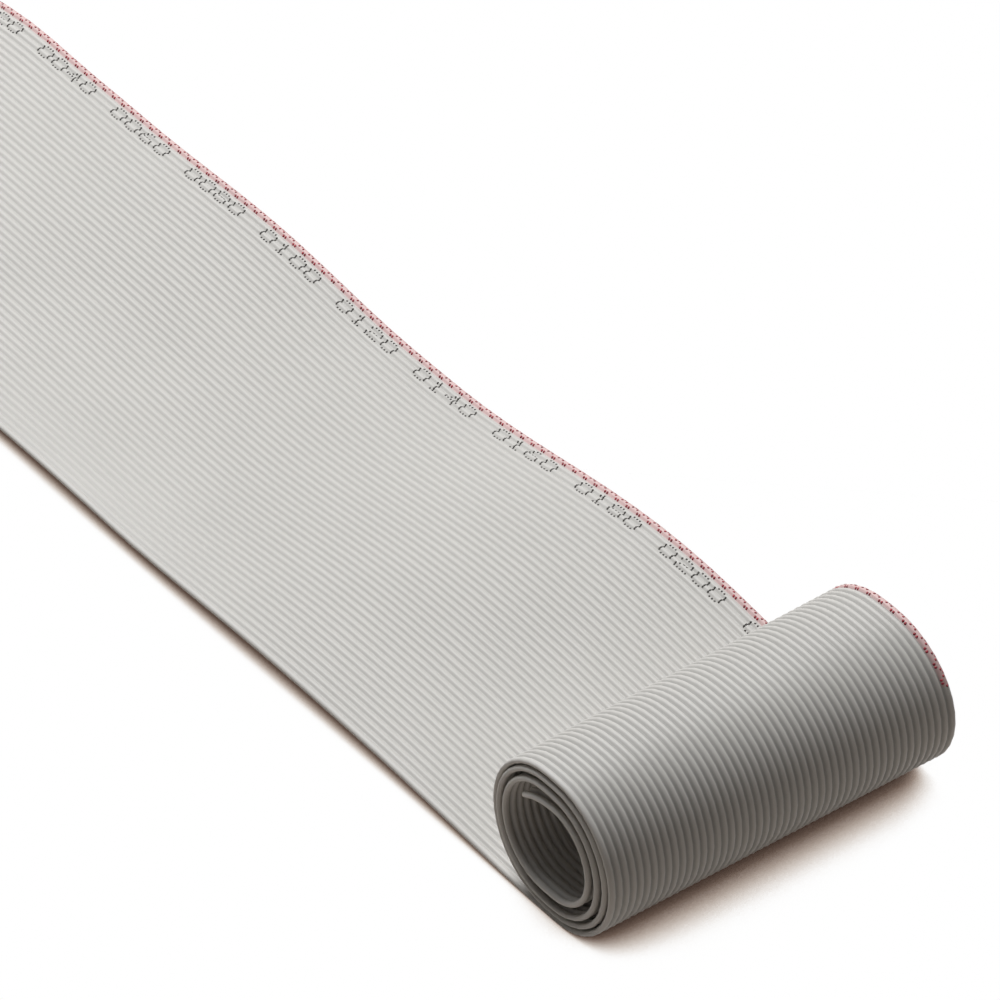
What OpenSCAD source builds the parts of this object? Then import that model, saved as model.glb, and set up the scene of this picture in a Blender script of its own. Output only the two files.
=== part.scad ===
// Flat ribbon cable: a thin strip of insulation with stranded wires side by side in it.
// One end is rolled up loosely. The rest runs out over the floor in two low waves to a square cut.
// Millimetres. X runs along the cable towards the roll, Y across its width, +Z up.
// The origin is on the floor under the middle of the whole piece.

/* [Ribbon] */
// Number of wires side by side
wire_count = 50; // [10:1:50]
// Spacing from wire to wire
pitch = 1.27; // [1:0.01:1.6]
// Thickness of the ribbon over its ridges
ribbon_t = 0.9; // [0.7:0.05:1.1]
// Width of the edge outside the last wire's middle
edge_w = 0.64; // [0.4:0.02:1]
// Side of the square bundle of strands, for the same section area as the round one
wire_t = 0.34; // [0.2:0.02:0.5]

/* [Roll] */
// Radius of the outermost half turn, to the middle of the ribbon
roll_r = 13.8; // [11.5:0.1:17]
// Half turns in the roll
half_turns = 7; // [3:2:7]
// Air between one turn and the next
turn_gap = 0.5; // [0.2:0.05:0.8]
// Length of the flat spot that the roll rests on
flat_spot = 3; // [1:0.5:6]
// Radius of the curl at the inner end
tip_r = 8; // [6:0.5:10]
// Angle that the inner end curls through
tip_angle = 45; // [20:5:60]

/* [Hidden] */
$fn = 96;
// The waves from the roll to the cut end: height of the crest, then the steepest slope on its
// side towards the roll and on its far side, in degrees.
WAVES = [[3.6, 7.5, 8], [2.3, 4, 4.5]];

outer_wires = (wire_count - 1) * pitch;
ribbon_w = outer_wires + 2 * edge_w;
turn_step = ribbon_t + turn_gap;

wire_names = [for (i = [1:wire_count]) str("wire_", i < 10 ? "0" : "", i)];

// From one level point to another of a different height, two equal arcs bend up and back.
function wave_r(height, slope) = height / 2 / (1 - cos(slope));
function wave_length(height, slope) = 2 * wave_r(height, slope) * sin(slope);

// Crests and troughs are counted from the roll, where the flat spot takes the place of a trough.
function trough_x(i) = i < 0 ? -flat_spot : crest_x(i) - wave_length(WAVES[i][0], WAVES[i][2]);
function crest_x(i) = trough_x(i - 1) - wave_length(WAVES[i][0], WAVES[i][1]);

// Each half turn of the roll ends half a step further in than it starts.
function turn_r(i) = roll_r - i * turn_step / 2;
function turn_z(i) = i == 0 ? 0 : turn_z(i - 1) + 2 * turn_r(i - 1) * (i % 2 == 0 ? -1 : 1);

// The middle of the ribbon follows a level flat spot and arcs, [x and z of the centre, radius,
// start, turn]. X is zero where the roll's first half turn starts, at the roll's lowest line.
wave_arcs = [
    for (i = [0:len(WAVES) - 1])
        let (
            height = WAVES[i][0],
            near = WAVES[i][1],
            far = WAVES[i][2],
            near_r = wave_r(height, near),
            far_r = wave_r(height, far)
        )
        each [
            [trough_x(i - 1), near_r, near_r, -90 - near, near],
            [crest_x(i), height - near_r, near_r, 90 - near, near],
            [crest_x(i), height - far_r, far_r, 90, far],
            [trough_x(i), far_r, far_r, -90, far]
        ]
];

roll_arcs = [
    for (i = [0:half_turns - 1])
        i % 2 == 0
            ? [0, turn_z(i) + turn_r(i), turn_r(i), -90, 180]
            : [0, turn_z(i) - turn_r(i), turn_r(i), 90, 180]
];

tip_arc = [0, turn_z(half_turns) - tip_r, tip_r, 90, tip_angle];

// Halfway between the cut end and the roll's outer side.
mid_x = (trough_x(len(WAVES) - 1) + roll_r + ribbon_t / 2) / 2;

// Moves in a coarse and a fine step, so that long distances keep their last digits.
module place(v) {
    coarse = [for (a = v) round(a * 1000) / 1000];
    translate(coarse)
        translate(v - coarse)
            children();
}

// Carries a section along the whole route. The section's X is up and down, its Y across.
module sweep() {
    place([-flat_spot - mid_x, 0, ribbon_t / 2])
        rotate([0, 90, 0])
            linear_extrude(flat_spot)
                children();
    for (arc = concat(wave_arcs, roll_arcs, [tip_arc]))
        place([arc[0] - mid_x, 0, arc[1] + ribbon_t / 2])
            rotate([90, 0, 0])
                rotate_extrude(angle = arc[4], start = arc[3])
                    place([arc[2], 0])
                        mirror([0, 1])
                            children();
}

module wire_section(i) {
    translate([0, i * pitch - outer_wires / 2])
        square(wire_t, center = true);
}

module insulation() {
    color("#c9c8c4")
        sweep()
            difference() {
                square([ribbon_t, ribbon_w], center = true);
                for (i = [0:wire_count - 1])
                    wire_section(i);
            }
}

module wire(i) {
    color("#b9bcc0")
        sweep()
            wire_section(i);
}

insulation();
for (i = [0:wire_count - 1])
    wire(i);
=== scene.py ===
"""Flat grey ribbon cable with a red edge stripe, one end loosely rolled up.

Every length is in metres. X runs along the cable towards the roll, Y across its width and Z up.
A place on the ribbon is (s, y): s is the length along its middle from the cut end, and y the
distance across from its middle line.
"""

from math import cos, pi, radians, sin

import bpy
import numpy as np
from bpy.props import FloatProperty, FloatVectorProperty, PointerProperty
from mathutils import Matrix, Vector


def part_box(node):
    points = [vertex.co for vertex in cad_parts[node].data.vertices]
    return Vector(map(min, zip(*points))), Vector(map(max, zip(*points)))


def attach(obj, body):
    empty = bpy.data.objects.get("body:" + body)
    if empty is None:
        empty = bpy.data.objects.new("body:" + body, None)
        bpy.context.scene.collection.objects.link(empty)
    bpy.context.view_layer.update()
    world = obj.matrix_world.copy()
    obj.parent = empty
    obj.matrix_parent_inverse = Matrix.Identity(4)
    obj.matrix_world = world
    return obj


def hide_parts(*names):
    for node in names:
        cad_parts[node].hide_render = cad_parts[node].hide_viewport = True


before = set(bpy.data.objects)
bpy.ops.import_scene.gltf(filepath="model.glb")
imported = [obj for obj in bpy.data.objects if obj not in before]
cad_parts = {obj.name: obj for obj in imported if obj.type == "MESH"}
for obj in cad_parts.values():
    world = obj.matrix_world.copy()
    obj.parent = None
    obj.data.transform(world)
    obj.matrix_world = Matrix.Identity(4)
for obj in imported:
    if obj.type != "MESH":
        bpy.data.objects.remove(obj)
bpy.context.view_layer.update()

bl_info = {
    "name": "Rolled ribbon cable",
    "version": (1, 0, 0),
    "blender": (4, 5, 0),
    "location": "3D View > Sidebar > Ribbon cable",
    "description": "Builds a flat ribbon cable with a rolled end, its wires, its edge stripe and a studio",
    "category": "Add Mesh",
}

MM = 0.001
WIRE_NODES = sorted(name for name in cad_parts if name.startswith("wire_"))
RIBBON_LOW, RIBBON_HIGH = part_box("insulation")

# The roll in part.scad: the radius of its outermost half turn, and the thickness over the ridges.
CAD_ROLL_RADIUS = 13.8 * MM
RIBBON_THICKNESS = 0.9 * MM
# The line on the floor where the roll's first half turn starts, and the height of the ribbon's middle
# there.
ROLL_START_X = RIBBON_HIGH.x - CAD_ROLL_RADIUS - RIBBON_THICKNESS / 2
REST_HEIGHT = RIBBON_THICKNESS / 2
HALF_WIDTH = (RIBBON_HIGH.y - RIBBON_LOW.y) / 2

# How much wider and how much lower the roll is at its +Y end than half way, as shares, and how far
# round its first turn that comes in.
WIDER, LOWER, TAPER_TURN = 0.052, 0.033, radians(40)

# How far apart the ribbon's sections stand on a straight stretch, and how many stand in a half turn
# for the insulation, for the wires and for the cord's path.
STRAIGHT_STEP = 6 * MM
INSULATION_STEPS, WIRE_STEPS, PATH_STEPS = 18, 12, 16
# The share of its brightness that the painted shade in its colour leaves to a groove, on either face.
UPPER_GROOVE_PAINTED_SHADE, UNDER_GROOVE_PAINTED_SHADE = 0.83, 0.55
# Points of the section over one ridge.
RIDGE_COLUMNS = 5
# Strands in a wire, corners of the wire's outline and corners of a strand's cut end.
STRANDS, OUTLINE_CORNERS, STRAND_CORNERS = 7, 12, 8
# Corners of an ink dot, and how far they, its middle and the middle of its underside are raised.
DOT_CORNERS = 8
DOT_RISE = np.array([0.022] * DOT_CORNERS + [0.04, 0.0]) * MM


def linear(hex_colour):
    """An sRGB hex colour as the linear red, green, blue and alpha that Blender's sockets hold."""
    parts = [int(hex_colour[i : i + 2], 16) / 255 for i in (1, 3, 5)]
    return tuple(c / 12.92 if c <= 0.04045 else ((c + 0.055) / 1.055) ** 2.4 for c in parts) + (1.0,)


# ---------------------------------------------------------------- sizes and colours


class RibbonSizes(bpy.types.PropertyGroup):
    """Sizes of the ribbon and of the wires in it"""

    pitch: FloatProperty(
        name="Wire pitch", description="Spacing from wire to wire", default=1.27 * MM, unit="LENGTH",
        precision=5,
    )
    ridge: FloatProperty(
        name="Ridge height", description="Insulation over one wire, from face to face", default=0.92 * MM,
        unit="LENGTH", precision=5,
    )
    ridge_width: FloatProperty(
        name="Ridge width", description="Insulation over one wire, across the ribbon", default=1.06 * MM,
        unit="LENGTH", precision=5,
    )
    web: FloatProperty(
        name="Web thickness", description="Insulation between two wires", default=0.24 * MM, unit="LENGTH",
        precision=5,
    )
    strand: FloatProperty(
        name="Strand diameter", description="One of the seven strands of a wire", default=0.127 * MM,
        unit="LENGTH", precision=6,
    )


class RollShape(bpy.types.PropertyGroup):
    """How the ribbon is rolled up at one end"""

    radius: FloatProperty(
        name="Outer radius", description="Radius of the outermost half turn", default=13.1 * MM,
        unit="LENGTH", precision=5,
    )
    start: FloatProperty(
        name="Start", description="How far past the roll's line on the floor the curl begins",
        default=0.9 * MM, unit="LENGTH", precision=5,
    )
    steps: FloatVectorProperty(
        name="Steps", description="What each further half turn loses of its radius", size=6,
        default=[step * MM for step in (0.6, 0.6, 0.65, 0.75, 1.25, 1.0)], unit="LENGTH", precision=5,
    )
    straights: FloatVectorProperty(
        name="Straights", description="Straight stretch between each half turn and the next", size=6,
        default=[straight * MM for straight in (2.15, 2.1, 2.3, 2.1, 2.3, 2.7)], unit="LENGTH", precision=5,
    )
    drift: FloatProperty(
        name="Sideways drift", description="How far each full turn lies beside the one outside it",
        default=-0.25 * MM, unit="LENGTH", precision=5,
    )
    tip_radius: FloatProperty(
        name="Free end's radius", description="Radius of the curl at the inner end", default=14 * MM,
        unit="LENGTH",
    )
    tip_length: FloatProperty(
        name="Free end's length", description="Length of the curl at the inner end", default=7.3 * MM,
        unit="LENGTH",
    )


class Finishes(bpy.types.PropertyGroup):
    """Colours of the plastic, the inks and the metal"""

    grey: FloatVectorProperty(
        name="Insulation", description="Grey PVC", default=linear("#cfcdc9"), size=4, subtype="COLOR",
        min=0, max=1,
    )
    pink: FloatVectorProperty(
        name="Edge stripe", description="Ground of the edge stripe", default=linear("#e0c0be"), size=4,
        subtype="COLOR", min=0, max=1,
    )
    red: FloatVectorProperty(
        name="Stripe ink", description="Dots of the edge stripe", default=linear("#96343e"), size=4,
        subtype="COLOR", min=0, max=1,
    )
    black: FloatVectorProperty(
        name="Number ink", description="Dots of the running numbers", default=linear("#45423f"), size=4,
        subtype="COLOR", min=0, max=1,
    )
    tin: FloatVectorProperty(
        name="Tinned strands", description="Tin on the copper strands", default=linear("#c6c5c1"), size=4,
        subtype="COLOR", min=0, max=1,
    )
    copper: FloatVectorProperty(
        name="Cut copper", description="Bare copper at the cut ends", default=linear("#c98a63"), size=4,
        subtype="COLOR", min=0, max=1,
    )


class Studio(bpy.types.PropertyGroup):
    """The camera and the lamp"""

    azimuth: FloatProperty(
        name="Camera azimuth", description="Heading of the camera, where 0 looks along +Y",
        default=radians(51.79), subtype="ANGLE",
    )
    elevation: FloatProperty(
        name="Camera elevation", description="Height of the camera above the horizon", default=radians(40.58),
        subtype="ANGLE",
    )
    distance: FloatProperty(
        name="Camera distance", description="From the camera to the floor that it looks at",
        default=1272 * MM, unit="LENGTH",
    )
    lens: FloatProperty(name="Lens", description="Focal length in millimetres", default=300.1, min=10)
    key: FloatProperty(
        name="Key lamp", description="Brightness of a white card lying under the key lamp alone", default=1.1,
        min=0,
    )
    fill: FloatProperty(name="Fill", description="Strength of the light from all round", default=0.0, min=0)


# ---------------------------------------------------------------- the ribbon's middle surface


def route_pieces(roll):
    """Lengths and curvatures of the ribbon's middle line, from the cut end.

    One level run lies along the floor. Then come half turns, each smaller in radius than the one
    before by its step, with a straight stretch between each and the next, and last the free end's
    curl.
    """
    lengths = [ROLL_START_X - RIBBON_LOW.x + roll.start, pi * roll.radius]
    curvatures = [0.0, 1 / roll.radius]
    for straight, radius in zip(roll.straights, roll.radius - np.cumsum(roll.steps)):
        lengths += [straight, pi * radius]
        curvatures += [0.0, 1 / radius]
    lengths.append(roll.tip_length)
    curvatures.append(1 / roll.tip_radius)
    return np.array(lengths), np.array(curvatures)


def middle_line(s, roll):
    """X, Z and turning angle of the middle line at each length in s.

    On a piece of constant curvature k the angle grows by k times the length, and the place moves
    by the sine and cosine of that angle summed, which is a circular arc, or a straight line where
    k is zero.
    """
    lengths, curvatures = route_pieces(roll)
    starts = np.concatenate([[0.0], np.cumsum(lengths)[:-1]])
    angles = np.concatenate([[0.0], np.cumsum(lengths * curvatures)[:-1]])

    def moved(angle, curvature, length):
        bent = curvature > 0
        k = np.where(bent, curvature, 1.0)
        dx = np.where(bent, (np.sin(angle + k * length) - np.sin(angle)) / k, length * np.cos(angle))
        dz = np.where(bent, (np.cos(angle) - np.cos(angle + k * length)) / k, length * np.sin(angle))
        return dx, dz

    steps_x, steps_z = moved(angles, curvatures, lengths)
    starts_x = RIBBON_LOW.x + np.concatenate([[0.0], np.cumsum(steps_x)[:-1]])
    starts_z = REST_HEIGHT + np.concatenate([[0.0], np.cumsum(steps_z)[:-1]])
    at = np.clip(np.searchsorted(starts, s, side="right") - 1, 0, len(starts) - 1)
    along = s - starts[at]
    dx, dz = moved(angles[at], curvatures[at], along)
    return starts_x[at] + dx, starts_z[at] + dz, angles[at] + curvatures[at] * along


def bell(t):
    """Half a cosine wave from 1 at the middle to 0 at t = 1 and beyond, level at both."""
    return 0.5 + 0.5 * np.cos(pi * np.clip(np.abs(t), 0, 1))


def ease(t):
    """Smooth step from 0 at t = 0 to 1 at t = 1, three t squared less two t cubed."""
    t = np.clip(t, 0, 1)
    return t * t * (3 - 2 * t)


def wave_lift(x, v):
    """Height of the flat part above the floor, where x is the distance past the roll's start line
    and v runs from -1 at one edge to 1 at the other.

    It is a sum of humps, each a bell along x with its own reach on either side. The first one's
    crest lies further from the roll and lower at -v than at +v. The second crosses the whole
    width. The others curl one edge up and fade towards the middle line with a power of v.
    """

    def hump(crest, towards_roll, towards_end, height):
        reach = np.where(x > crest * MM, towards_roll, towards_end) * MM
        return height * MM * bell((x - crest * MM) / reach)

    left, right = np.clip(-v, 0, 1) ** 3, np.clip(v, 0, 1) ** 1.3
    crest = -62 + 9 * v + 3 * v * v
    lift = hump(crest, -crest, crest + 111 - 4 * (v + v * v), 3.4 + 0.9 * v + 0.3 * v * v)
    lift += hump(-205, 94, 45, 2.2)
    lift += left * hump(-118, 52, 55, 2.5) + np.clip(-v, 0, 1) * hump(-26, 24, 34, 0.5)
    lift += right * hump(-148, 35, 35, 1.6)
    return lift + right**3 * hump(-216, 18, 18, 0.8)


def sway(x):
    """How far the flat part bows sideways, a bell along x."""
    return 0.45 * MM * bell((x + 98 * MM) / (60 * MM))


def ribbon_middle(s, y, roll):
    """Points of the ribbon's middle surface at (s, y), before its thickness.

    The middle line is carried across the width. On the flat part it rises by wave_lift and bows
    by sway. In the roll it is scaled a little wider and lower towards +Y, and each turn lies beside
    the last by the drift.
    """
    x, z, angle = middle_line(s, roll)
    v = y / HALF_WIDTH
    in_roll = ease(angle / TAPER_TURN)
    from_roll = x - ROLL_START_X
    on_floor = angle <= 0
    lift = np.where(on_floor, wave_lift(np.minimum(from_roll, 0), v), 0)
    wide = 1 + WIDER * v * in_roll
    low = 1 - LOWER * v * in_roll
    drift = roll.drift * angle / (2 * pi)
    return np.stack(
        np.broadcast_arrays(
            ROLL_START_X + from_roll * wide,
            y + drift - np.where(on_floor, sway(from_roll), 0),
            REST_HEIGHT + (z - REST_HEIGHT) * low + lift,
        ),
        axis=-1,
    )


def ribbon_normal(s, y, roll):
    """Unit normals of the middle surface, from its differences along s and across y."""
    h = 0.02 * MM
    along = ribbon_middle(s + h, y, roll) - ribbon_middle(s - h, y, roll)
    across = ribbon_middle(s, y + h, roll) - ribbon_middle(s, y - h, roll)
    normal = np.cross(along, across)
    return normal / np.linalg.norm(normal, axis=-1, keepdims=True)


def ring_places(roll, half_turn_steps):
    """Lengths along the ribbon at which a section stands: evenly spaced on each piece of the route."""
    lengths, curvatures = route_pieces(roll)
    places, start = [np.array([0.0])], 0.0
    for length, curvature in zip(lengths, curvatures):
        turned = length * curvature
        count = max(1, round(turned / pi * half_turn_steps if turned else length / STRAIGHT_STEP))
        places.append(start + length * np.arange(1, count + 1) / count)
        start += length
    return np.concatenate(places)


def under_print_start(roll):
    """Length at which the stripe on the under face begins, 120 degrees up the outermost half turn."""
    return route_pieces(roll)[0][0] + radians(120) * roll.radius


# ---------------------------------------------------------------- meshes and materials


def make_piece(name, points, face_groups, materials, maps=(), slots=None, smooth=True):
    """A mesh object at the origin from an array of points and arrays of faces, one array for each
    number of corners. maps are (name, one pair of numbers for each corner). slots and smooth say
    which material each face takes and whether it is shaded smooth."""
    mesh = bpy.data.meshes.new(name)
    corners = np.concatenate([faces.ravel() for faces in face_groups]).astype(np.int32)
    counts = np.concatenate([np.full(len(faces), faces.shape[1]) for faces in face_groups])
    mesh.vertices.add(len(points))
    mesh.vertices.foreach_set("co", points.astype(np.float32).ravel())
    mesh.loops.add(len(corners))
    mesh.loops.foreach_set("vertex_index", corners)
    mesh.polygons.add(len(counts))
    mesh.polygons.foreach_set("loop_start", (np.cumsum(counts) - counts).astype(np.int32))
    mesh.polygons.foreach_set("use_smooth", np.full(len(counts), smooth))
    for material in materials:
        mesh.materials.append(material)
    if slots is not None:
        mesh.polygons.foreach_set("material_index", slots.astype(np.int32))
    for map_name, places in maps:
        layer = mesh.uv_layers.new(name=map_name, do_init=False)
        layer.uv.foreach_set("vector", places.astype(np.float32).ravel())
    mesh.update(calc_edges=True)
    if mesh.validate():
        raise RuntimeError(f"{name}: the mesh had faulty faces")
    piece = bpy.data.objects.new(name, mesh)
    bpy.context.scene.collection.objects.link(piece)
    return piece


def add_node(tree, kind, inputs=None, **settings):
    """Adds a node, sets its settings, and gives its inputs a value or a link from another socket."""
    node = tree.nodes.new(kind)
    for name, value in settings.items():
        setattr(node, name, value)
    for key, value in (inputs or {}).items():
        if isinstance(value, bpy.types.NodeSocket):
            tree.links.new(value, node.inputs[key])
        else:
            node.inputs[key].default_value = value
    return node


def new_material(name):
    """An empty node material and the tree that it holds."""
    material = bpy.data.materials.new(name)
    material.use_nodes = True
    material.node_tree.nodes.clear()
    return material, material.node_tree


def spread(tree, noise, low, high):
    """Stretches the usual range of a noise, 0.3 to 0.7, to a range from low to high."""
    limits = {"Value": noise, "From Min": 0.3, "From Max": 0.7, "To Min": low, "To Max": high}
    return add_node(tree, "ShaderNodeMapRange", limits).outputs["Result"]


def times(tree, a, b):
    """The product of two values."""
    return add_node(tree, "ShaderNodeMath", {0: a, 1: b}, operation="MULTIPLY").outputs["Value"]


def extruded_grey_pvc(name, colours, pitch, striped, painted_groove_shade):
    """Soft PVC extruded over the wires: matt, with fine lines along the run where the die drew it,
    a slow drift in its grey, a painted shade in the grooves that leaves them the share of its
    brightness given by the last argument, and a few dark specks. Where it is striped, the last ridge is pink."""
    material, tree = new_material(name)
    place = add_node(tree, "ShaderNodeUVMap", uv_map="ribbon").outputs["UV"]
    across = add_node(tree, "ShaderNodeSeparateXYZ", {"Vector": place}).outputs["Y"]

    # Clouds about 30 mm across, where the plastic and the handling left the grey uneven.
    clouds = add_node(tree, "ShaderNodeTexNoise", {"Vector": place, "Scale": 35.0, "Detail": 3.0})
    tone = spread(tree, clouds.outputs["Fac"], 0.975, 1.02)
    # Die lines 0.2 mm apart across the ribbon and 60 mm long.
    drawn = add_node(tree, "ShaderNodeMapping", {"Vector": place, "Scale": (16.0, 5000.0, 1.0)})
    die_noise = {"Vector": drawn.outputs["Vector"], "Scale": 1.0, "Detail": 2.0}
    die_lines = add_node(tree, "ShaderNodeTexNoise", die_noise).outputs["Fac"]
    tone = times(tree, tone, spread(tree, die_lines, 0.985, 1.01))
    # Dark specks about 0.15 mm across, one for each 9 mm square at most.
    specks = add_node(tree, "ShaderNodeTexVoronoi", {"Vector": place, "Scale": 110.0, "Randomness": 1.0})
    speck_limits = {"From Min": 0.006, "From Max": 0.012, "To Min": 0.62, "To Max": 1.0}
    speck = add_node(tree, "ShaderNodeMapRange", {"Value": specks.outputs["Distance"], **speck_limits})
    tone = times(tree, tone, speck.outputs["Result"])
    # A painted shade in each groove, which the section alone leaves too pale: darkest half way between two
    # wires and gone where the ridges begin to round over. The grooves lie at whole pitches from the
    # middle line, and none lies outside the last wire.
    last = HALF_WIDTH - pitch / 2
    inside = add_node(tree, "ShaderNodeClamp", {"Value": across, "Min": -last, "Max": last}).outputs["Result"]
    from_groove = add_node(tree, "ShaderNodeMath", {0: inside, 1: pitch / 2}, operation="PINGPONG")
    shade = add_node(
        tree,
        "ShaderNodeMapRange",
        {
            "Value": from_groove.outputs["Value"],
            "From Min": 0.0,
            "From Max": 0.45 * MM,
            "To Min": painted_groove_shade,
            "To Max": 1.0,
        },
        interpolation_type="SMOOTHSTEP",
    )
    tone = times(tree, tone, shade.outputs["Result"])

    base = add_node(tree, "ShaderNodeRGB")
    base.outputs[0].default_value = colours.grey
    colour = base.outputs[0]
    if striped:
        pink = add_node(tree, "ShaderNodeRGB")
        pink.outputs[0].default_value = colours.pink
        # The ground covers the last ridge and stops over a soft 0.15 mm line before the groove.
        in_stripe = add_node(
            tree,
            "ShaderNodeMapRange",
            {"Value": across, "From Min": HALF_WIDTH - 1.3 * MM, "From Max": HALF_WIDTH - 1.15 * MM},
            interpolation_type="SMOOTHSTEP",
        )
        ground = {"Factor": in_stripe.outputs["Result"], "A": colour, "B": pink.outputs[0]}
        colour = add_node(tree, "ShaderNodeMix", ground, data_type="RGBA").outputs["Result"]
    toned = add_node(tree, "ShaderNodeVectorMath", {0: colour, "Scale": tone}, operation="SCALE")

    # Grain about 0.25 mm across, as coarse as it needs to be to break up the highlight.
    grain_noise = {"Vector": place, "Scale": 4000.0, "Detail": 2.0}
    grain = add_node(tree, "ShaderNodeTexNoise", grain_noise).outputs["Fac"]
    relief = add_node(tree, "ShaderNodeMath", {0: grain, 1: die_lines}, operation="ADD").outputs["Value"]
    bump = add_node(tree, "ShaderNodeBump", {"Strength": 0.25, "Distance": 0.01 * MM, "Height": relief})
    shader = add_node(
        tree,
        "ShaderNodeBsdfPrincipled",
        {
            "Base Color": toned.outputs["Vector"],
            "Roughness": spread(tree, grain, 0.5, 0.62),
            "Normal": bump.outputs["Normal"],
            "IOR": 1.53,
        },
    )
    add_node(tree, "ShaderNodeOutputMaterial", {"Surface": shader.outputs["BSDF"]})
    return material


def printing_ink(name, colour):
    """Solvent ink jetted on as dots: matt, thinner and paler in patches where the plastic shows through."""
    material, tree = new_material(name)
    place = add_node(tree, "ShaderNodeTexCoord").outputs["Object"]
    # Patches about 0.5 mm across, so that one dot differs from the next.
    patches = add_node(tree, "ShaderNodeTexNoise", {"Vector": place, "Scale": 2000.0, "Detail": 1.0})
    thin = spread(tree, patches.outputs["Fac"], 0.65, 1.85)
    ink = add_node(tree, "ShaderNodeRGB")
    ink.outputs[0].default_value = colour
    toned = add_node(tree, "ShaderNodeVectorMath", {0: ink.outputs[0], "Scale": thin}, operation="SCALE")
    finish = {"Base Color": toned.outputs["Vector"], "Roughness": 0.6}
    shader = add_node(tree, "ShaderNodeBsdfPrincipled", finish)
    add_node(tree, "ShaderNodeOutputMaterial", {"Surface": shader.outputs["BSDF"]})
    return material


def strand_metal(name, colour, low, high, scale):
    """Drawn or cut metal: bright, with a roughness that drifts between low and high."""
    material, tree = new_material(name)
    place = add_node(tree, "ShaderNodeTexCoord").outputs["Object"]
    patches = add_node(tree, "ShaderNodeTexNoise", {"Vector": place, "Scale": scale, "Detail": 2.0})
    roughness = spread(tree, patches.outputs["Fac"], low, high)
    shader = add_node(
        tree, "ShaderNodeBsdfPrincipled", {"Base Color": colour, "Metallic": 1.0, "Roughness": roughness}
    )
    add_node(tree, "ShaderNodeOutputMaterial", {"Surface": shader.outputs["BSDF"]})
    return material


# ---------------------------------------------------------------- the pieces


def wire_rows(sizes):
    """Distances of the wires from the ribbon's middle line."""
    count = len(WIRE_NODES)
    return (np.arange(count) - (count - 1) / 2) * sizes.pitch


def section_columns(sizes):
    """Distances across and half thicknesses of the ribbon's section, column by column.

    Over each wire the section is an ellipse, met by the flat web at the angle whose sine is the
    web's thickness over the ridge's height. The two outer ridges are drawn out to the ribbon's full
    width and closed with half an ellipse.
    """
    wide, high = sizes.ridge_width / 2, sizes.ridge / 2
    rows = wire_rows(sizes)
    shoulder = np.arcsin(sizes.web / sizes.ridge)
    arc = np.linspace(pi - shoulder, shoulder, RIDGE_COLUMNS)
    ridge_y, ridge_n = wide * np.cos(arc), high * np.sin(arc)
    # An outer ridge keeps the ellipse on its inner half, and on its outer half a wider one.
    out = np.linspace(0, pi / 2, 4)
    inner = arc < 0.49 * pi
    first_y = rows[0] + np.concatenate([(HALF_WIDTH + rows[0]) * -np.cos(out), ridge_y[inner]])
    first_n = np.concatenate([high * np.sin(out), ridge_n[inner]])
    y = np.concatenate([first_y, (rows[1:-1, None] + ridge_y).ravel(), -first_y[::-1]])
    n = np.concatenate([first_n, np.tile(ridge_n, len(rows) - 2), first_n[::-1]])
    return y, n


def section_places(roll):
    """Lengths along the ribbon at which the insulation's sections stand."""
    return ring_places(roll, INSULATION_STEPS)


def on_face(s, y, face, raised, scene):
    """Points raised over the insulation as it is meshed, straight from one column of the section to
    the next and from one section to the next. face is 1 on the upper face and -1 on the under one."""
    sizes, roll = scene.ribbon_sizes, scene.ribbon_roll
    height = ((np.interp(y, *section_columns(sizes)) + raised) * face)[..., None]
    places = section_places(roll)
    at = np.clip(np.searchsorted(places, s) - 1, 0, len(places) - 2)
    share = ((s - places[at]) / (places[at + 1] - places[at]))[..., None]

    def over(section):
        return ribbon_middle(section, y, roll) + ribbon_normal(section, y, roll) * height

    return over(places[at]) * (1 - share) + over(places[at + 1]) * share


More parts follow.
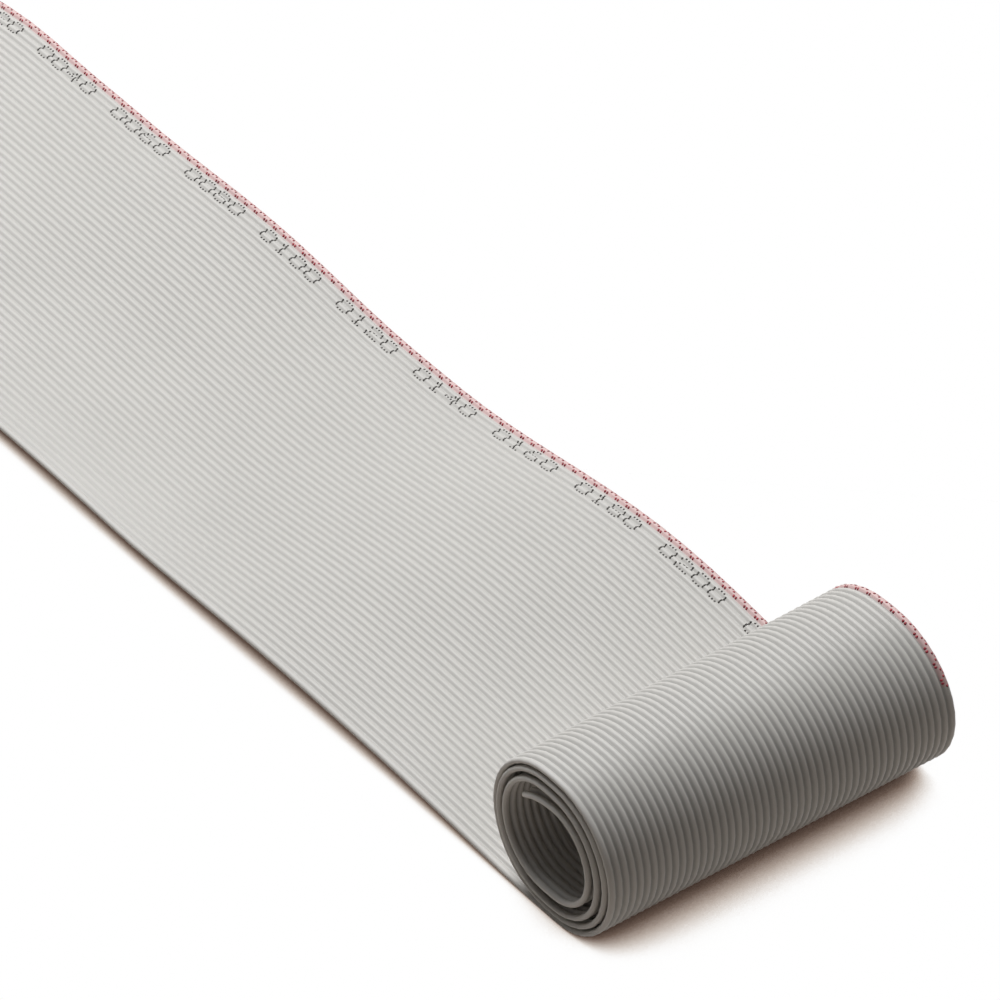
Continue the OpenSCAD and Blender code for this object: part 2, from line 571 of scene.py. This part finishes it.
class RIBBONCABLE_OT_insulation(bpy.types.Operator):
    """Carries the ridged section along the ribbon's route and closes it at both cut ends"""

    bl_idname = "ribbon_cable.insulation"
    bl_label = "Insulation"

    def execute(self, context):
        scene = context.scene
        sizes, roll = scene.ribbon_sizes, scene.ribbon_roll
        column_y, column_n = section_columns(sizes)
        s = section_places(roll)
        # Round the section: the upper side from -Y to +Y, then the under side back, and the two
        # outermost points only once.
        order = np.concatenate([np.arange(len(column_y)), np.arange(len(column_y) - 2, 0, -1)])
        side = np.concatenate([np.ones(len(column_y)), -np.ones(len(column_y) - 2)])
        y, n = column_y[order], column_n[order] * side
        across, rings = len(y), len(s)
        grid_s, grid_y = s[:, None], y[None, :]
        points = ribbon_middle(grid_s, grid_y, roll) + ribbon_normal(grid_s, grid_y, roll) * n[None, :, None]

        ring, column = np.meshgrid(np.arange(rings - 1), np.arange(across), indexing="ij")
        ring, column = ring.ravel(), column.ravel()
        following = (column + 1) % across
        walls = np.stack(
            [
                ring * across + column,
                (ring + 1) * across + column,
                (ring + 1) * across + following,
                ring * across + following,
            ],
            axis=1,
        )
        # The cut ends: quads between neighbouring columns, and a triangle at each outer edge.
        top = np.arange(1, len(column_y) - 2)
        under = across - top
        last = len(column_y) - 1
        quads = np.stack([top, top + 1, under - 1, under], axis=1)
        tips = np.array([[0, 1, across - 1], [last, last + 1, last - 1]])
        shift = (rings - 1) * across
        end_quads, end_tips = quads[:, ::-1] + shift, tips[:, ::-1] + shift

        # A place along and across the ribbon for each corner, for the material.
        vertex_map = np.stack(np.broadcast_arrays(grid_s, grid_y), axis=-1).reshape(-1, 2)
        groups = [walls, quads, end_quads, tips, end_tips]
        pattern = vertex_map[np.concatenate([faces.ravel() for faces in groups])]
        # The under face's grooves carry more painted shade than the upper one's. It is plain up to the
        # section where its printing begins.
        wall_slots = (column >= last) * 1
        wall_slots += wall_slots * (s[ring + 1] > under_print_start(roll) + 0.1 * MM)
        slots = np.concatenate([wall_slots, np.zeros(sum(map(len, groups[1:])), int)])
        colours, pitch = scene.ribbon_finishes, sizes.pitch
        piece = make_piece(
            "insulation_ridged",
            points.reshape(-1, 3),
            groups,
            [
                extruded_grey_pvc("grey_pvc_upper_face", colours, pitch, True, UPPER_GROOVE_PAINTED_SHADE),
                extruded_grey_pvc("grey_pvc_under_face_plain", colours, pitch, False, UNDER_GROOVE_PAINTED_SHADE),
                extruded_grey_pvc("grey_pvc_under_face_striped", colours, pitch, True, UNDER_GROOVE_PAINTED_SHADE),
            ],
            maps=[("ribbon", pattern), ("OFBake", self.flat_map(s, y, n, groups, across))],
            slots=slots,
            smooth=np.arange(len(slots)) < len(walls),
        )
        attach(piece, "root")
        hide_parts("insulation")
        path = ribbon_middle(ring_places(roll, PATH_STEPS), np.array(0.0), roll)
        return {"FINISHED"}

    @staticmethod
    def flat_map(s, y, n, groups, across):
        """The surface laid out flat in two long strips, one over the other, each half the ribbon's
        length, with the distance round the section across it and the cut ends beside them."""
        step = np.hypot(np.diff(y, append=y[0]), np.diff(n, append=n[0]))
        round_section = np.concatenate([[0.0], np.cumsum(step)])
        girth = round_section[-1]
        split = int(np.searchsorted(s, s[-1] / 2))
        walls = groups[0]
        ring, column = walls // across, walls % across
        # Corners past the last column belong to the end of the strip and not to its start.
        wrapped = (column == 0) & (column[:, :1] == across - 1)
        strip = (ring.min(axis=1, keepdims=True) >= split) + np.zeros_like(ring)
        u = (s[ring] - np.where(strip > 0, s[split], 0)) / max(s[split], s[-1] - s[split])
        v = np.where(wrapped, girth, round_section[column]) / girth
        # The strips' margin, height and spacing, and the room over them for the cut ends side by side.
        margin, strip_height, strip_pitch = 0.004, 0.486, 0.494
        end_left, end_width, end_pitch = 0.01, 0.45, 0.5
        end_low, end_height = 0.991, 0.006
        strip_u, strip_v = margin + (1 - 2 * margin) * u, margin + strip_height * v + strip_pitch * strip
        maps = [np.stack([strip_u, strip_v], axis=-1)]
        for index, faces in enumerate(groups[1:]):
            at = faces % across
            wide = (y[at] - y.min()) / (2 * HALF_WIDTH)
            high = (n[at] - n.min()) / RIBBON_THICKNESS
            left = end_left + end_pitch * (index % 2)
            maps.append(np.stack([left + end_width * wide, end_low + end_height * high], axis=-1))
        return np.concatenate([places.reshape(-1, 2) for places in maps])


class RIBBONCABLE_OT_wires(bpy.types.Operator):
    """Makes the fifty stranded wires inside the insulation, each a bundle of seven strands"""

    bl_idname = "ribbon_cable.wires"
    bl_label = "Wires"

    def execute(self, context):
        scene = context.scene
        sizes, roll = scene.ribbon_sizes, scene.ribbon_roll
        colours = scene.ribbon_finishes
        tin = strand_metal("tinned_strands", colours.tin, 0.25, 0.4, 3000.0)
        copper = strand_metal("cut_copper", colours.copper, 0.3, 0.5, 20000.0)
        s = ring_places(roll, WIRE_STEPS)
        # The bundle stands a hair proud of the cut insulation at both ends.
        proud = 0.03 * MM
        s[0] -= proud
        s[-1] += proud
        strand = sizes.strand / 2
        # Outline of seven strands: out to a strand's far side, in to where two strands meet.
        corner = np.arange(OUTLINE_CORNERS)
        turn = corner * 2 * pi / OUTLINE_CORNERS
        reach = np.where(corner % 2 == 0, 3 * strand, 2 * strand * cos(radians(30)))
        offset_y, offset_n = reach * np.cos(turn), -reach * np.sin(turn)
        tube_ends = np.array([corner, corner[::-1] + (len(s) - 1) * OUTLINE_CORNERS])
        tube = [tube_walls(len(s), OUTLINE_CORNERS), tube_ends]
        # A thin disc for each strand's cut end, six round one. A number's real part lies across the
        # ribbon and its imaginary part over it.
        sixths = 2j * pi * np.arange(STRANDS - 1) / (STRANDS - 1)
        middles = np.concatenate([[0j], 2 * strand * np.exp(sixths)])
        rim = 0.9 * strand * np.exp(2j * pi * np.arange(STRAND_CORNERS) / STRAND_CORNERS)
        spots = (middles[:, None] + rim[None, :]).ravel()
        half_thickness = 0.012 * MM
        for name, row in zip(WIRE_NODES, wire_rows(sizes)):
            places, middle_row = s[:, None], np.full((1, 1), row)
            axis, normal = ribbon_middle(places, middle_row, roll), ribbon_normal(places, middle_row, roll)
            across = ribbon_middle(places, row + offset_y[None, :], roll) - axis
            # The least length stands in for zero where a corner lies on the axis.
            across /= np.maximum(np.linalg.norm(across, axis=-1, keepdims=True), 1e-12)
            bundle = axis + across * np.abs(offset_y)[None, :, None] + normal * offset_n[None, :, None]
            points, faces = [bundle.reshape(-1, 3)], list(tube)
            for end, outwards in ((0, -1.0), (-1, 1.0)):
                side, up = across[end, 0], normal[end, 0]
                out = np.cross(up, side) * -outwards * half_thickness
                disc = axis[end, 0] + side * spots.real[:, None] + up * spots.imag[:, None]
                faces += strand_faces(sum(map(len, points)), outwards)
                points += [disc + out, disc - out]
            counts = [sum(map(len, tube)), sum(map(len, faces[len(tube) :]))]
            piece = make_piece(
                name.replace("wire", "stranded_wire"),
                np.concatenate(points),
                faces,
                [tin, copper],
                slots=np.repeat([0, 1], counts),
                smooth=np.arange(sum(counts)) < len(tube[0]),
            )
            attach(piece, "root")
            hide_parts(name)
        return {"FINISHED"}


def strand_faces(first, outwards):
    """Faces of the discs at one cut end: the outer rings of points are numbered from first, and the
    inner rings follow them."""
    outer = first + np.arange(STRANDS * STRAND_CORNERS).reshape(STRANDS, STRAND_CORNERS)
    inner = outer + STRANDS * STRAND_CORNERS
    sides = np.stack([outer, inner, np.roll(inner, -1, axis=1), np.roll(outer, -1, axis=1)], axis=-1)
    faces = [outer, inner[:, ::-1], sides.reshape(-1, 4)]
    return faces if outwards > 0 else [corners[:, ::-1] for corners in faces]


def tube_walls(rings, around):
    """Quads between neighbouring rings of a tube, numbered ring by ring."""
    ring, column = np.meshgrid(np.arange(rings - 1), np.arange(around), indexing="ij")
    a = (ring * around + column).ravel()
    b = (ring * around + (column + 1) % around).ravel()
    return np.stack([a, a + around, b + around, b], axis=1)


# Five columns by seven rows for each figure, read from the top row down.
FIGURES = {
    "0": "01110 10001 10001 10001 10001 10001 01110",
    "1": "00100 01100 00100 00100 00100 00100 01110",
    "2": "01110 10001 00001 00110 01000 10000 11111",
    "3": "01110 10001 00001 00110 00001 10001 01110",
    "4": "00010 00110 01010 10010 11111 00010 00010",
    "5": "11111 10000 11110 00001 00001 10001 01110",
    "6": "00110 01000 10000 11110 10001 10001 01110",
    "7": "11111 00001 00010 00100 01000 01000 01000",
    "8": "01110 10001 10001 01110 10001 10001 01110",
    "9": "01110 10001 10001 01111 00001 00010 01100",
}


def ink_dots(name, s, y, face, size, material, scene):
    """Small closed spots of ink lying on the ridged surface, on its upper face where face is 1 and
    on its under face where it is -1. Each is a ring of eight points with one more above and one
    below its middle, so that it follows a groove as well as a ridge."""
    corner = np.arange(len(DOT_RISE))
    turn = corner * 2 * pi / DOT_CORNERS
    reach = np.where(corner < DOT_CORNERS, size / 2, 0)
    limit = HALF_WIDTH - 0.02 * MM
    spot_s = s[:, None] + reach * np.cos(turn)
    spot_y = np.clip(y[:, None] + reach * np.sin(turn), -limit, limit)
    points = on_face(spot_s, spot_y, face[:, None], DOT_RISE, scene)
    first = np.arange(len(s))[:, None] * len(DOT_RISE)
    ring = first + corner[:DOT_CORNERS]
    after = np.roll(ring, -1, axis=1)
    above = np.stack([ring, after, np.broadcast_to(first + DOT_CORNERS, ring.shape)], axis=-1)
    below = np.stack([after, ring, np.broadcast_to(first + DOT_CORNERS + 1, ring.shape)], axis=-1)
    fans = np.concatenate([above, below], axis=1)
    fans[face < 0] = fans[face < 0][:, :, ::-1]
    piece = make_piece(name, points.reshape(-1, 3), [fans.reshape(-1, 3)], [material])
    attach(piece, "root")
    return piece


class RIBBONCABLE_OT_marks(bpy.types.Operator):
    """Prints the dotted red edge stripe and, on the upper face alone, plain running numbers"""

    bl_idname = "ribbon_cable.marks"
    bl_label = "Stripe and numbers"

    def execute(self, context):
        scene = context.scene
        roll, colours = scene.ribbon_roll, scene.ribbon_finishes
        length = route_pieces(roll)[0].sum()
        # Five dots for each wave of 2.54 mm. Their distance in from the edge follows a cosine.
        wave, dots, inset, swing = 2.54 * MM, 5, 0.2 * MM, 0.44 * MM
        s = np.arange(2, int((length - 1 * MM) / wave * dots)) * wave / dots
        y = HALF_WIDTH - inset - swing * (1 - np.cos(2 * pi * s / wave))
        under = s > under_print_start(roll)
        both_s, both_y = np.concatenate([s, s[under]]), np.concatenate([y, y[under]])
        face = np.repeat([1.0, -1.0], [len(s), under.sum()])
        red = printing_ink("red_printing_ink", colours.red)
        ink_dots("stripe_dots", both_s, both_y, face, 0.4 * MM, red, scene)

        # One number for each 20 mm, the distance from the cut end to its last figure's end in mm.
        column, row, figure, spacing = 0.64 * MM, 0.32 * MM, 3.84 * MM, 20
        places = []
        for number in range(spacing, int(length / MM), spacing):
            digits = f"{number:04d}"
            for position, digit in enumerate(digits):
                start = number * MM - (len(digits) - position) * figure
                for down, line in enumerate(FIGURES[digit].split()):
                    for right, dot in enumerate(line):
                        if dot == "1":
                            places.append((start + right * column, down * row))
        places = np.array(places)
        top_row = HALF_WIDTH - 1.9 * MM
        black = printing_ink("black_printing_ink", colours.black)
        rows, upper = top_row - places[:, 1], np.ones(len(places))
        ink_dots("number_dots", places[:, 0], rows, upper, 0.36 * MM, black, scene)
        return {"FINISHED"}


# ---------------------------------------------------------------- camera, floor and light


class RIBBONCABLE_OT_camera(bpy.types.Operator):
    """Puts a long lens over the near corner of the roll, looking back along the ribbon"""

    bl_idname = "ribbon_cable.camera"
    bl_label = "Camera"

    def execute(self, context):
        studio = context.scene.ribbon_studio
        data = bpy.data.cameras.new("studio_camera")
        data.sensor_width = 36
        data.lens = studio.lens
        data.clip_start, data.clip_end = 0.05, 20
        camera = bpy.data.objects.new("studio_camera", data)
        context.scene.collection.objects.link(camera)
        back = Vector(
            (
                sin(studio.azimuth) * cos(studio.elevation),
                -cos(studio.azimuth) * cos(studio.elevation),
                sin(studio.elevation),
            )
        )
        # The point on the floor that the lens looks at.
        aim = Vector((32.2 * MM, 20.0 * MM, 0))
        camera.location = aim + back * studio.distance
        camera.rotation_euler = (-back).to_track_quat("-Z", "Y").to_euler()
        context.scene.camera = camera
        return {"FINISHED"}


class RIBBONCABLE_OT_studio(bpy.types.Operator):
    """Lays a white floor and hangs one soft box up beyond the cut end"""

    bl_idname = "ribbon_cable.studio"
    bl_label = "Floor and lamp"

    def execute(self, context):
        scene = context.scene
        studio = scene.ribbon_studio
        reach = 3.0
        corners = np.array([[-reach, -reach, 0], [reach, -reach, 0], [reach, reach, 0], [-reach, reach, 0]])
        floor = make_piece("floor", corners, [np.array([[0, 1, 2, 3]])], [self.floor_paper()])
        self.soft_box("key_lamp", place=(-0.55, 0.26, 1.21), width=0.9, brightness=studio.key)
        self.surroundings(scene, studio.fill)
        scene.view_settings.view_transform = "Standard"
        return {"FINISHED"}

    @staticmethod
    def soft_box(name, place, width, brightness):
        """A square lamp aimed at the middle of the floor. Its power in watts is the wished
        brightness times pi squared times the distance squared over the cosine at the floor."""
        data = bpy.data.lights.new(name, "AREA")
        data.shape = "SQUARE"
        data.size = width
        lamp = bpy.data.objects.new(name, data)
        bpy.context.scene.collection.objects.link(lamp)
        spot = Vector(place)
        lamp.location = spot
        lamp.rotation_euler = (-spot).to_track_quat("-Z", "Y").to_euler()
        data.energy = brightness * pi**2 * spot.length**2 * spot.length / spot.z
        return lamp

    @staticmethod
    def floor_paper():
        """White background paper. What the lens and mirrors see of it glows white, going warm and dark
        where the ribbon covers it closely, in place of the lamp's own shadow. What lights the ribbon
        from below is a duller sheet, so that its under sides stay dark."""
        material, tree = new_material("floor_paper")
        path = add_node(tree, "ShaderNodeLightPath")
        seen = add_node(
            tree,
            "ShaderNodeMath",
            {0: path.outputs["Is Camera Ray"], 1: path.outputs["Is Glossy Ray"]},
            operation="MAXIMUM",
        )
        seen = add_node(
            tree,
            "ShaderNodeMath",
            {0: seen.outputs["Value"], 1: path.outputs["Is Transmission Ray"]},
            operation="MAXIMUM",
        )
        # How much of the room above each spot is open, within 60 mm.
        openness = add_node(tree, "ShaderNodeAmbientOcclusion", {"Distance": 60 * MM}, samples=16)
        shade = add_node(tree, "ShaderNodeValToRGB", {"Fac": openness.outputs["AO"]})
        first, last = shade.color_ramp.elements
        first.position, first.color = 0.2, linear("#2e211b")
        last.position, last.color = 0.57, linear("#ffffff")
        for position, colour in ((0.27, "#5f4c42"), (0.33, "#8f7d71"), (0.4, "#b9aca2"), (0.48, "#e3dcd6")):
            shade.color_ramp.elements.new(position).color = linear(colour)
        bright = add_node(tree, "ShaderNodeEmission", {"Color": shade.outputs["Color"], "Strength": 1.0})
        dull = add_node(tree, "ShaderNodeBsdfDiffuse", {"Color": linear("#beb2a7")})
        mix = add_node(
            tree,
            "ShaderNodeMixShader",
            {0: seen.outputs["Value"], 1: dull.outputs["BSDF"], 2: bright.outputs["Emission"]},
        )
        add_node(tree, "ShaderNodeOutputMaterial", {"Surface": mix.outputs["Shader"]})
        return material

    @staticmethod
    def surroundings(scene, strength):
        """White where the lens or a mirror sees it, and elsewhere an even light of the given strength."""
        world = bpy.data.worlds.new("studio_surroundings")
        world.use_nodes = True
        tree = world.node_tree
        tree.nodes.clear()
        path = add_node(tree, "ShaderNodeLightPath")
        seen = add_node(
            tree,
            "ShaderNodeMath",
            {0: path.outputs["Is Camera Ray"], 1: path.outputs["Is Glossy Ray"]},
            operation="MAXIMUM",
        )
        white = add_node(tree, "ShaderNodeBackground", {"Color": (1, 1, 1, 1), "Strength": 1.0})
        fill = add_node(tree, "ShaderNodeBackground", {"Color": (1, 1, 1, 1), "Strength": strength})
        mix = add_node(
            tree,
            "ShaderNodeMixShader",
            {0: seen.outputs["Value"], 1: fill.outputs["Background"], 2: white.outputs["Background"]},
        )
        add_node(tree, "ShaderNodeOutputWorld", {"Surface": mix.outputs["Shader"]})
        scene.world = world


# ---------------------------------------------------------------- add-on


class RIBBONCABLE_PT_sidebar(bpy.types.Panel):
    """Lists the ribbon cable's sizes and its steps"""

    bl_idname = "RIBBONCABLE_PT_sidebar"
    bl_label = "Ribbon cable"
    bl_space_type = "VIEW_3D"
    bl_region_type = "UI"
    bl_category = "Ribbon cable"

    def draw(self, context):
        layout = self.layout
        for name, group in GROUPS.items():
            box = layout.box()
            box.label(text=group.__doc__)
            settings = getattr(context.scene, name)
            for setting in group.__annotations__:
                box.prop(settings, setting)
        for operator in STEPS:
            layout.operator(operator.bl_idname)


GROUPS = {
    "ribbon_sizes": RibbonSizes,
    "ribbon_roll": RollShape,
    "ribbon_finishes": Finishes,
    "ribbon_studio": Studio,
}
STEPS = (
    RIBBONCABLE_OT_camera,
    RIBBONCABLE_OT_insulation,
    RIBBONCABLE_OT_wires,
    RIBBONCABLE_OT_marks,
    RIBBONCABLE_OT_studio,
)


def register():
    for group in GROUPS.values():
        bpy.utils.register_class(group)
    for name, group in GROUPS.items():
        setattr(bpy.types.Scene, name, PointerProperty(type=group))
    for step in STEPS:
        bpy.utils.register_class(step)
    bpy.utils.register_class(RIBBONCABLE_PT_sidebar)


def unregister():
    bpy.utils.unregister_class(RIBBONCABLE_PT_sidebar)
    for step in reversed(STEPS):
        bpy.utils.unregister_class(step)
    for name in GROUPS:
        delattr(bpy.types.Scene, name)
    for group in GROUPS.values():
        bpy.utils.unregister_class(group)


def main():
    register()
    bpy.ops.ribbon_cable.camera()
    bpy.ops.ribbon_cable.insulation()
    bpy.ops.ribbon_cable.wires()
    bpy.ops.ribbon_cable.marks()
    bpy.ops.ribbon_cable.studio()


if __name__ == "__main__":
    main()
